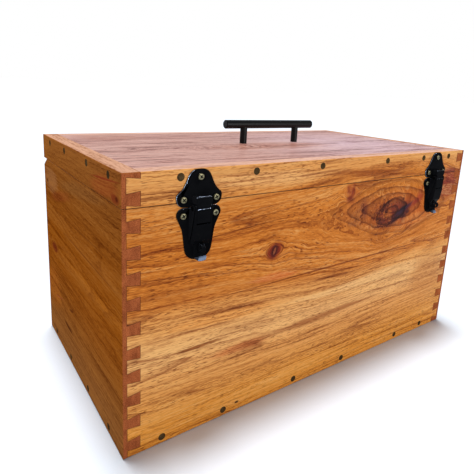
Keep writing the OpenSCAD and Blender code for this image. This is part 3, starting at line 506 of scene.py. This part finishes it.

# places on a side board are metres from its middle, to the back, and from the ground
# the side boards' wood is darker and redder than the front's: partly its own tone, partly painted shade of a
# side turned away from the light
leftWood = {
    "grain": "y", "seed": 4.1, "width": 0.292, "wander": 0.016, "ripple": 0.004,
    "across": [(0.0, tone(146, 94, 50)), (0.18, tone(146, 88, 36)), (0.34, tone(150, 82, 22)),
               (0.52, tone(154, 82, 16)), (0.68, tone(144, 77, 18)), (0.86, tone(142, 82, 30)),
               (1.0, tone(154, 92, 40))],
    "tints": [
        {"at": (0.1117, 0.2335), "size": (0.034, 0.020), "strength": 0.4, "colour": tone(174, 120, 76),
         "fray": 2.2},
        {"at": (-0.1020, 0.2700), "size": (0.045, 0.012), "lean": -6, "strength": 0.6,
         "colour": tone(154, 70, 32)},
        {"at": (0.0720, 0.2200), "size": (0.060, 0.008), "lean": -12, "strength": 0.5,
         "colour": tone(146, 68, 30)},
        {"at": (-0.0200, 0.2480), "size": (0.100, 0.010), "lean": -6, "strength": 0.4,
         "colour": tone(150, 100, 52)},
        {"at": (-0.0600, 0.1440), "size": (0.120, 0.0050), "strength": 0.6, "colour": tone(176, 100, 26)},
        {"at": (0.1190, 0.0786), "size": (0.04, 0.034), "strength": 0.6, "colour": tone(178, 100, 34)},
        {"at": (0.1062, 0.1396), "size": (0.016, 0.006), "strength": 0.8, "colour": tone(140, 62, 24)}],
    "bands": 1.7, "streaks": 1.5, "threads": 1.8, "fibres": 1.3,
    "darkTint": tone(150, 96, 58), "lightTint": tone(186, 118, 52), "figureLong": 3.0,
    "ringCount": 12, "rings": 0.55, "ringTint": tone(150, 90, 56),
    "lineAt": 0.62, "lines": 0.25, "lineTint": tone(140, 88, 60),
    "pores": 0.5, "poreTint": tone(138, 88, 56),
    "knots": [
        {"at": (0.1062, 0.1396), "radius": 0.007, "long": 2.0},
        {"at": (-0.1335, 0.2648), "radius": 0.006, "long": 1.6}],
    "stains": [
        {"at": (0.0475, 0.0475), "size": (0.022, 0.0028), "lean": 2, "strength": 0.85,
         "colour": tone(78, 36, 16)},
        {"at": (0.0292, 0.0792), "size": (0.012, 0.0022), "lean": -14, "strength": 0.7,
         "colour": tone(92, 44, 18)},
        {"at": (-0.1340, 0.2650), "size": (0.012, 0.005), "strength": 0.75, "colour": tone(124, 48, 24),
         "fray": 2.4},
        {"at": (-0.1000, 0.2780), "size": (0.045, 0.0011), "lean": -5, "strength": 0.8,
         "colour": tone(136, 52, 28)},
        {"at": (0.1060, 0.1410), "size": (0.014, 0.006), "strength": 0.8, "colour": tone(112, 44, 18),
         "fray": 2.4},
        {"at": (-0.1386, 0.2659), "size": (0.004, 0.003), "strength": 0.85, "colour": tone(88, 34, 16),
         "by": "fine"},
        {"at": (0.1343, 0.2294), "size": (0.006, 0.003), "strength": 0.8, "colour": tone(84, 38, 16),
         "by": "fine"},
        {"at": (-0.0420, 0.1754), "size": (0.09, 0.0012), "lean": 1, "strength": 0.6,
         "colour": tone(110, 56, 20)},
        {"at": (-0.0113, 0.1988), "size": (0.12, 0.0010), "lean": -1, "strength": 0.5,
         "colour": tone(110, 56, 20)},
        {"at": (0.0905, 0.0717), "size": (0.025, 0.0009), "lean": -14, "strength": 0.6,
         "colour": tone(168, 84, 54)}],
    "loops": [],
    "endColours": (tone(118, 58, 32), tone(170, 94, 54)),
    # the paler tones for faces that look up are partly edge grain, partly a painted sheen of light from above
    "upSheenTint": tone(208, 160, 132), "upSheenLine": tone(146, 96, 68),
    "rough": 0.6, "gloss": 0.0, "joint": dovetails, "seam": 0.0}

rightWood = dict(
    leftWood, seed=7.3, tints=[], knots=[{"at": (-0.0521, 0.2001), "radius": 0.007, "long": 1.5}],
    stains=[
        {"at": (-0.0521, 0.2001), "size": (0.006, 0.005), "strength": 0.85, "colour": tone(88, 34, 16),
         "by": "fine"}])

# places on the lid's panel are metres from its middle, to the right and to the back
topWood = {
    "grain": "flat", "seed": 2.6, "width": 0.3, "wander": 0.018, "ripple": 0.004,
    "across": [(0.0, tone(213, 163, 149)), (0.35, tone(206, 148, 136)), (0.5, tone(209, 155, 141)),
               (0.75, tone(204, 150, 136)), (1.0, tone(214, 168, 156))],
    "tints": [
        # this large pale mauve patch on the right half is a painted sheen of light on the lid
        {"at": (0.150, -0.040), "size": (0.24, 0.20), "strength": 0.9, "colour": tone(230, 198, 211),
         "inner": 0.1, "fray": 0.6},
        {"at": (-0.0150, -0.0300), "size": (0.110, 0.036), "strength": 0.7, "colour": tone(198, 128, 98)},
        {"at": (-0.2020, 0.1000), "size": (0.05, 0.045), "strength": 0.6, "colour": tone(194, 128, 104)}],
    "bands": 2.8, "streaks": 5.4, "threads": 5.6, "fibres": 3.4,
    "darkTint": tone(158, 104, 100), "lightTint": tone(222, 180, 168),
    "ringCount": 11, "rings": 0.75, "ringTint": tone(150, 96, 84), "figureLong": 2.0,
    "lineAt": 0.60, "lines": 0.6, "lineTint": tone(150, 98, 88),
    "pores": 0.35, "poreTint": tone(150, 100, 86),
    "knots": [{"at": (-0.0892, -0.0306), "radius": 0.022, "long": 2.4, "lean": 4, "tight": 1.0},
              {"at": (-0.2286, -0.0171), "radius": 0.012, "long": 1.6, "tight": 1.0}],
    "stains": [], "loops": [],
    "endColours": (tone(120, 66, 50), tone(170, 110, 84)),
    "rough": 0.34, "gloss": 0.5}

bottomWood = dict(topWood, seed=9.2, knots=[], tints=[], across=frontWood["across"], rough=0.55, gloss=0.1)

woods = {"front": woodMaterial("frontBoardWood", frontWood), "back": woodMaterial("backBoardWood", backWood),
         "left": woodMaterial("leftBoardWood", leftWood), "right": woodMaterial("rightBoardWood", rightWood),
         "top": woodMaterial("lidPanelWood", topWood), "bottom": woodMaterial("bottomPanelWood", bottomWood)}

# dowels show their end grain: a dark disc with specks
dowelLook = {"specks": (1300, 3, 0.65), "patches": (160, 2, 0.5), "speckShare": 0.6, "patchShare": 0.45,
             "colours": [(0.32, tone(32, 24, 14)), (0.55, tone(68, 52, 32)), (0.75, tone(108, 86, 56))],
             "rough": 0.6, "gloss": 0.0, "relief": 0.4, "depth": 0.0002}


def dowelMaterial(name, look):
    made, tree, shader, coords = newMaterial(name)
    specks = cloud(tree, coords.outputs["Object"], *look["specks"])
    patches = cloud(tree, coords.outputs["Object"], *look["patches"])
    shade = calc(tree, "MULTIPLY_ADD", specks, look["speckShare"],
                 calc(tree, "MULTIPLY", patches, look["patchShare"]))
    plug(tree, ramp(tree, shade, look["colours"]), shader.inputs["Base Color"])
    shader.inputs["Roughness"].default_value = look["rough"]
    shader.inputs["Specular IOR Level"].default_value = look["gloss"]
    tree.links.new(emboss(tree, specks, look["relief"], look["depth"]), shader.inputs["Normal"])
    return made


# every metal finish mixes a fine and a broad noise, each with its detail and roughness
metalGrain = {"fine": (3, 0.6), "broad": (3, 0.55), "fineShare": 0.35, "broadShare": 0.65,
              "darkAt": 0.3, "lightAt": 0.7, "depth": 0.00012}


def metalMaterial(name, look):
    made, tree, shader, coords = newMaterial(name)
    rule = metalGrain
    fine = cloud(tree, coords.outputs["Object"], look["fineScale"], *rule["fine"])
    broad = cloud(tree, coords.outputs["Object"], look["broadScale"], *rule["broad"])
    mixed = calc(tree, "MULTIPLY_ADD", fine, rule["fineShare"],
                 calc(tree, "MULTIPLY", broad, rule["broadShare"]))
    plug(tree, ramp(tree, mixed, [(rule["darkAt"], look["dark"]), (rule["lightAt"], look["light"])]),
         shader.inputs["Base Color"])
    plug(tree, between(tree, mixed, rule["darkAt"], rule["lightAt"], *look["rough"]),
         shader.inputs["Roughness"])
    shader.inputs["Metallic"].default_value = look["metal"]
    shader.inputs["Specular IOR Level"].default_value = look["gloss"]
    tree.links.new(emboss(tree, fine, look["relief"], rule["depth"]), shader.inputs["Normal"])
    return made


# enamel for the latches, powder coat for the handle, plated steel, and brass for the hinges
blackEnamel = metalMaterial("blackEnamel", {
    "fineScale": 900, "broadScale": 60, "dark": tone(4, 4, 5), "light": tone(9, 9, 10),
    "rough": (0.16, 0.22), "metal": 0.0, "gloss": 0.006, "relief": 0.04})
blackSatin = metalMaterial("blackSatinHandle", {
    "fineScale": 1500, "broadScale": 80, "dark": tone(5, 5, 6), "light": tone(11, 12, 14),
    "rough": (0.30, 0.42), "metal": 0.0, "gloss": 0.16, "relief": 0.2})
platedSteel = metalMaterial("platedScrewSteel", {
    "fineScale": 1400, "broadScale": 220, "dark": tone(168, 158, 124), "light": tone(216, 208, 178),
    "rough": (0.24, 0.42), "metal": 1.0, "gloss": 0.5, "relief": 0.15})
hingeBrass = metalMaterial("hingeBrass", {
    "fineScale": 1100, "broadScale": 130, "dark": tone(150, 118, 62), "light": tone(206, 176, 108),
    "rough": (0.26, 0.44), "metal": 1.0, "gloss": 0.5, "relief": 0.15})
# a pale blue-grey metal for the latch edges that face up or to the left: a painted highlight
enamelHighlight = metalMaterial("enamelHighlight", {
    "fineScale": 900, "broadScale": 120, "dark": tone(58, 63, 73), "light": tone(126, 134, 150),
    "rough": (0.22, 0.34), "metal": 0.9, "gloss": 0.5, "relief": 0.05})
# a blue-grey metal for the top of the lever's finger lip: a painted reflection of the light above
enamelLipSheen = metalMaterial("enamelLipSheen", {
    "fineScale": 900, "broadScale": 160, "dark": tone(28, 34, 44), "light": tone(70, 80, 98),
    "rough": (0.5, 0.62), "metal": 0.7, "gloss": 0.3, "relief": 0.05})
screwSteel = metalMaterial("screwHeadSteel", {
    "fineScale": 1400, "broadScale": 260, "dark": tone(84, 80, 60), "light": tone(140, 134, 106),
    "rough": (0.26, 0.44), "metal": 1.0, "gloss": 0.5, "relief": 0.15})
# a near-black finish for the faces deep in the cross recess: painted shade
recessShade = metalMaterial("screwRecessShade", {
    "fineScale": 1400, "broadScale": 300, "dark": tone(14, 13, 11), "light": tone(38, 35, 28),
    "rough": (0.5, 0.7), "metal": 0.3, "gloss": 0.2, "relief": 0.2})
dowelEnd = dowelMaterial("dowelEndGrain", dowelLook)
print("materials made")

wears = {"front_board": woods["front"], "lid_front_rail": woods["front"], "back_board": woods["back"],
         "lid_back_rail": woods["back"], "left_board": woods["left"], "lid_left_rail": woods["left"],
         "right_board": woods["right"], "lid_right_rail": woods["right"], "lid_top_panel": woods["top"],
         "bottom_panel": woods["bottom"], "case_dowels": dowelEnd, "lid_dowels": dowelEnd,
         "handle_bolts": platedSteel}
for name, piece in nodes.items():
    finish = wears.get(name)
    if finish is None:
        if "hinge" in name:
            finish = hingeBrass
        elif name.endswith("_screws"):
            finish = platedSteel
        elif name.startswith("handle"):
            finish = blackSatin
        else:
            finish = blackEnamel
    piece.data.materials.clear()
    piece.data.materials.append(finish)
    for slot in piece.material_slots:
        slot.material = finish
print("finishes laid on")

# an edge gets the pale metal, a painted highlight, where it faces up or to the left by more than these
# shares, and no face reaches 2
softLook = {"angle": 32, "steps": 3, "profile": 0.5, "merge": 1e-6, "flatten": 1.0, "front": -0.15,
            "onFront": 0.00005, "upEdge": 2, "leftEdge": 2, "plate": 0, "lip": 0,
            "lipFacing": 0.25, "lipHigh": 0.0035}
leverFoot = min(v.co.z for v in nodes["left_latch_lever"].data.vertices)
softEdges = {"strike": {"round": 0.0006, "leftEdge": 0.38, "plate": 0.0015},
             "base": {"round": 0.0005, "upEdge": 0.5, "plate": 0.0012},
             "lever": {"round": 0.0006, "upEdge": 0.5, "lip": leverFoot + softLook["lipHigh"]},
             "claw": {"round": 0.0007, "upEdge": 0.5},
             "staple": {"round": 0.0009, "upEdge": 0.8}}


# links a new piece to the scene in place of a node, on the same body
def standsFor(name, ending, mesh, finishes):
    source = nodes[name]
    piece = bpy.data.objects.new(name + ending, mesh)
    bpy.context.scene.collection.objects.link(piece)
    for finish in finishes:
        mesh.materials.append(finish)
    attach(piece, source["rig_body"])
    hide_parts(name)
    return piece


# the pressed and turned metal pieces get their rounded edges here, with painted highlights on some edges and
# on the lip
def softenEdges(name, look):
    source = nodes[name]
    work = bmesh.new()
    work.from_mesh(source.data)
    bmesh.ops.remove_doubles(work, verts=work.verts, dist=look["merge"])
    bmesh.ops.dissolve_limit(work, angle_limit=math.radians(look["flatten"]), verts=work.verts,
                             edges=work.edges, delimit={"NORMAL"})
    sharp = [e for e in work.edges if len(e.link_faces) == 2 and
             e.calc_face_angle(0) > math.radians(look["angle"])]
    if look["plate"]:
        # on a flat plate only the outline of its front is rounded
        level = look["front"] - look["plate"]
        sharp = [e for e in sharp if all(abs(v.co.y - level) < look["onFront"] for v in e.verts)]
    rounded = bmesh.ops.bevel(work, geom=sharp, offset=look["round"], offset_type="OFFSET",
                              segments=look["steps"], profile=look["profile"], affect="EDGES",
                              clamp_overlap=not look["plate"])
    # the rounded edges that face up or to the left get the pale metal: a painted highlight
    for face in rounded["faces"]:
        face.normal_update()
        if face.normal.z > look["upEdge"] or face.normal.x < -look["leftEdge"]:
            face.material_index = 1
    # faces of the finger lip that look up get the blue-grey metal, a painted reflection
    if look["lip"]:
        for face in work.faces:
            if face.normal.z > look["lipFacing"] and face.calc_center_median().z < look["lip"]:
                face.material_index = 2
    bmesh.ops.triangulate(work, faces=[f for f in work.faces if len(f.verts) > 4])
    mesh = bpy.data.meshes.new(name + "Soft")
    work.to_mesh(mesh)
    work.free()
    for face in mesh.polygons:
        face.use_smooth = True
    piece = standsFor(name, "Soft", mesh, (source.data.materials[0], enamelHighlight, enamelLipSheen))
    weld = piece.modifiers.new("evenNormals", "WEIGHTED_NORMAL")
    weld.keep_sharp = True
    return piece


softened = [softenEdges(f"{side}_latch_{part}", dict(softLook, **look))
            for side in ("left", "right") for part, look in softEdges.items()]
print("latch edges rounded")

# pan heads with a cross recess on a threaded shank, one for each screw of the node, lengths in millimetres
mm = 0.001
screwLook = {"head": 2.2, "rim": 0.9, "crown": 0.2, "crownRings": 15, "rimRings": 6, "turns": 64,
             "wing": 2.1, "slot": 0.62, "deep": 1.5, "slotTaper": 0.25, "floorSlope": 0.5,
             "sideRun": 0.16, "endRun": 0.25, "darkFrom": 0.8,
             "shank": 1.5, "core": 1.15, "plain": 2.5, "pitch": 1.1, "point": 4.0, "tip": 0.12,
             "shankTurns": 16, "firstSpin": 23, "spinStep": 37, "merge": 1e-6}


def screwProfile(radius, look):
    flat = radius - look["rim"]
    top = look["head"] - look["crown"]
    table = []
    for i in range(1, look["crownRings"] + 1):
        r = flat * i / look["crownRings"]
        table.append((r, look["head"] - look["crown"] * (r / flat) ** 2))
    for i in range(1, look["rimRings"] + 1):
        a = math.radians(90 * i / look["rimRings"])
        table.append((flat + look["rim"] * math.sin(a), top - look["rim"] * (1 - math.cos(a))))
    table.append((radius, 0.0))
    return table


def clamped(value):
    return min(max(value, 0.0), 1.0)


def recessDepth(x, y, look):
    depth = 0.0
    for a, b in ((abs(x), abs(y)), (abs(y), abs(x))):
        half = look["slot"] * (1.0 - look["slotTaper"] * a / look["wing"])
        wall = clamped((half - b) / look["sideRun"]) * clamped((look["wing"] - a) / look["endRun"])
        depth = max(depth, wall * look["deep"] * (1.0 - look["floorSlope"] * a / look["wing"]))
    return depth


def oneScrew(work, centre, foot, tip, radius, spin, look):
    def place(r, angle, out):
        return Vector((centre.x + r * math.cos(angle), foot - out, centre.z + r * math.sin(angle)))

    turns = look["turns"]
    middle = work.verts.new(place(0, 0, (look["head"] - look["deep"]) * mm))
    before, deepBefore = None, None
    for r, height in screwProfile(radius / mm, look):
        ring, deep = [], []
        for i in range(turns):
            angle = 2 * math.pi * i / turns
            cut = recessDepth(r * math.cos(angle - spin), r * math.sin(angle - spin), look)
            ring.append(work.verts.new(place(r * mm, angle, (height - cut) * mm)))
            deep.append(cut)
        for i in range(turns):
            j = (i + 1) % turns
            # the middle and the faces deep in the recess get the near-black finish, a painted shade
            if before is None:
                face = work.faces.new((middle, ring[i], ring[j]))
                dark = True
            else:
                face = work.faces.new((before[i], ring[i], ring[j], before[j]))
                dark = deepBefore[i] + deep[i] + deepBefore[j] + deep[j] > look["darkFrom"]
            face.material_index = 1 if dark else 0
            face.smooth = True
        before, deepBefore = ring, deep

    # the underside of the head, then the shank with its thread down to the point
    length = (tip - foot) / mm
    steps = []
    at = look["plain"]
    while at < length - look["point"]:
        steps += [(look["core"], -at), (look["shank"], -at - look["pitch"] / 2)]
        at += look["pitch"]
    steps += [(look["core"], -at), (look["tip"], -length)]
    around = look["shankTurns"]
    skip = turns // around

    def shankRing(r, out):
        return [work.verts.new(place(r * mm, 2 * math.pi * i / around, out * mm)) for i in range(around)]

    rim = shankRing(look["shank"], 0.0)
    for i in range(around):
        j = (i + 1) % around
        edge = [before[(i * skip + k) % turns] for k in range(skip + 1)]
        work.faces.new(edge[::-1] + [rim[i], rim[j]])
    for r, out in steps:
        ring = shankRing(r, out)
        for i in range(around):
            j = (i + 1) % around
            face = work.faces.new((rim[i], ring[i], ring[j], rim[j]))
            face.smooth = True
        rim = ring
    work.faces.new(rim)


# the loose parts of a mesh, each as the list of its corners
def islands(mesh, merge):
    loose = bmesh.new()
    loose.from_mesh(mesh)
    bmesh.ops.remove_doubles(loose, verts=loose.verts, dist=merge)
    waiting = set(loose.verts)
    found = []
    while waiting:
        island, stack = [], [waiting.pop()]
        while stack:
            v = stack.pop()
            island.append(v.co.copy())
            for e in v.link_edges:
                other = e.other_vert(v)
                if other in waiting:
                    waiting.remove(other)
                    stack.append(other)
        found.append(island)
    loose.free()
    return found


def screwPiece(name, look):
    work = bmesh.new()
    screws = islands(nodes[name].data, look["merge"])
    for corners in screws:
        low = Vector([min(c[k] for c in corners) for k in range(3)])
        high = Vector([max(c[k] for c in corners) for k in range(3)])
        centre = (low + high) / 2
        # the place of a screw says how far its recess is turned
        spin = math.radians(look["firstSpin"] + look["spinStep"] * round(1000 * (centre.x + 2 * centre.z)))
        oneScrew(work, centre, low.y + look["head"] * mm, high.y, (high.x - low.x) / 2, spin, look)
    bmesh.ops.recalc_face_normals(work, faces=work.faces)
    mesh = bpy.data.meshes.new(name + "Heads")
    work.to_mesh(mesh)
    work.free()
    piece = standsFor(name, "Heads", mesh, (screwSteel, recessShade))
    print(name, "has", len(screws), "screws")
    return piece


screwPieces = [screwPiece(f"{side}_latch_{part}_screws", screwLook)
               for side in ("left", "right") for part in ("strike", "base")]
print("screws cut")

# floor, light and camera
stageLook = {"reach": 60.0, "sunk": 0.0004, "colour": tone(232, 240, 250), "rough": 0.9, "gloss": 0.1}
r = stageLook["reach"]
floorMesh = bpy.data.meshes.new("studioFloor")
floorMesh.from_pydata([(-r, -r, 0), (r, -r, 0), (r, r, 0), (-r, r, 0)], [], [(0, 1, 2, 3)])
floor = bpy.data.objects.new("studioFloor", floorMesh)
bpy.context.scene.collection.objects.link(floor)
floor.location.z = -stageLook["sunk"]
paleFloor, _, floorShader, _ = newMaterial("paleFloor")
floorShader.inputs["Base Color"].default_value = stageLook["colour"]
floorShader.inputs["Roughness"].default_value = stageLook["rough"]
floorShader.inputs["Specular IOR Level"].default_value = stageLook["gloss"]
floorMesh.materials.append(paleFloor)


def aimed(name, lamp, look):
    lamp.energy = look["power"]
    lamp.color = look["colour"]
    lampObject = bpy.data.objects.new(name, lamp)
    bpy.context.scene.collection.objects.link(lampObject)
    lampObject.location = look["from"]
    aim = Vector(look["at"]) - Vector(look["from"])
    lampObject.rotation_euler = aim.to_track_quat("-Z", "Y").to_euler()
    return lampObject


def softbox(name, look):
    lamp = bpy.data.lights.new(name, "AREA")
    lamp.shape = "RECTANGLE"
    lamp.size, lamp.size_y = look["size"]
    return aimed(name, lamp, look)


def skylight(name, look):
    lamp = bpy.data.lights.new(name, "SUN")
    lamp.angle = math.radians(look["spread"])
    return aimed(name, lamp, look)


# the skylight stands almost overhead, a little behind on the left, so the shadow stays close to the trunk
overhead = skylight("overheadSkylight", {
    "power": 2.6, "spread": 13, "colour": (1.0, 1.0, 1.0), "from": (-0.34, 0.30, 2.4), "at": (0.0, 0.0, 0.0)})
# its twin lights only the floor and stands straight behind the trunk, so no shadow falls to the side
floorLight = skylight("floorSkylight", {
    "power": 3.1, "spread": 13, "colour": (1.0, 1.0, 1.0), "from": (0.0, 0.30, 2.4), "at": (0.0, 0.0, 0.0)})
frontGlow = softbox("frontSoftbox", {
    "size": (1.8, 1.0), "power": 34.5, "colour": (1.0, 0.98, 0.95), "from": (0.9, -2.6, 0.75),
    "at": (0.0, 0.0, 0.14)})
# two small bright sources that draw the highlights on the latches
edgeGlow = softbox("edgeLight", {
    "size": (0.5, 0.10), "power": 90, "colour": (0.90, 0.95, 1.0), "from": (1.1, -0.6, 2.0),
    "at": (0.0, -0.15, 0.24)})
rimGlow = softbox("rimLight", {
    "size": (0.10, 1.0), "power": 70, "colour": (0.86, 0.93, 1.0), "from": (-1.7, -1.0, 0.55),
    "at": (-0.2, -0.15, 0.24)})


def linked(name, pieces):
    group = bpy.data.collections.new(name)
    for piece in pieces:
        group.objects.link(piece)
    return group


# the softbox leaves out the latches, but not their screws
trunkPieces = list(nodes.values()) + softened + screwPieces
frontGlow.light_linking.receiver_collection = linked(
    "softboxPieces", [piece for piece in trunkPieces if "latch" not in piece.name] + screwPieces)
overhead.light_linking.receiver_collection = linked("trunkPieces", trunkPieces)
floorLight.light_linking.receiver_collection = linked("floorPieces", [floor])
# the slim handle throws no shadow of the skylight
overhead.light_linking.blocker_collection = linked(
    "shadowPieces", [piece for piece in trunkPieces if not piece.name.startswith("handle")])
latchPieces = linked("latchPieces", softened)
for glow in (edgeGlow, rimGlow):
    glow.light_linking.receiver_collection = latchPieces

# the camera sees a white room, which lights the trunk less than it shows
airLook = {"colour": (1, 1, 1, 1), "lights": 0.36, "shows": 1.0}
world = bpy.data.worlds.new("studioAir")
bpy.context.scene.world = world
world.use_nodes = True
airTree = world.node_tree
air = next(n for n in airTree.nodes if n.type == "BACKGROUND")
air.inputs["Color"].default_value = airLook["colour"]
seen = airTree.nodes.new("ShaderNodeLightPath").outputs["Is Camera Ray"]
plug(airTree, between(airTree, seen, 0, 1, airLook["lights"], airLook["shows"], smooth=False),
     air.inputs["Strength"])

# focal length and middle in pixels of a frame of this width, then the camera's three axes
cameraLook = {"place": (-0.41095, -0.51217, 0.36801), "focal": 443.54, "frame": 474,
              "middle": (243.36, 188.61), "sensor": 36, "nearest": 0.01,
              "right": (0.81425, -0.57809, 0.05295), "down": (-0.08527, -0.20933, -0.97412),
              "ahead": (0.57421, 0.78867, -0.21974)}
eye = bpy.data.cameras.new("photoView")
eye.sensor_fit = "HORIZONTAL"
eye.sensor_width = cameraLook["sensor"]
eye.lens = cameraLook["sensor"] * cameraLook["focal"] / cameraLook["frame"]
eye.shift_x = 0.5 - cameraLook["middle"][0] / cameraLook["frame"]
eye.shift_y = cameraLook["middle"][1] / cameraLook["frame"] - 0.5
eye.clip_start = cameraLook["nearest"]
eyeObject = bpy.data.objects.new("photoView", eye)
bpy.context.scene.collection.objects.link(eyeObject)
up = [-v for v in cameraLook["down"]]
back = [-v for v in cameraLook["ahead"]]
turn = Matrix((cameraLook["right"], up, back)).transposed()
eyeObject.matrix_world = Matrix.Translation(cameraLook["place"]) @ turn.to_4x4()
bpy.context.scene.camera = eyeObject
bpy.context.scene.view_settings.view_transform = "Standard"
print("stage, light and camera set")
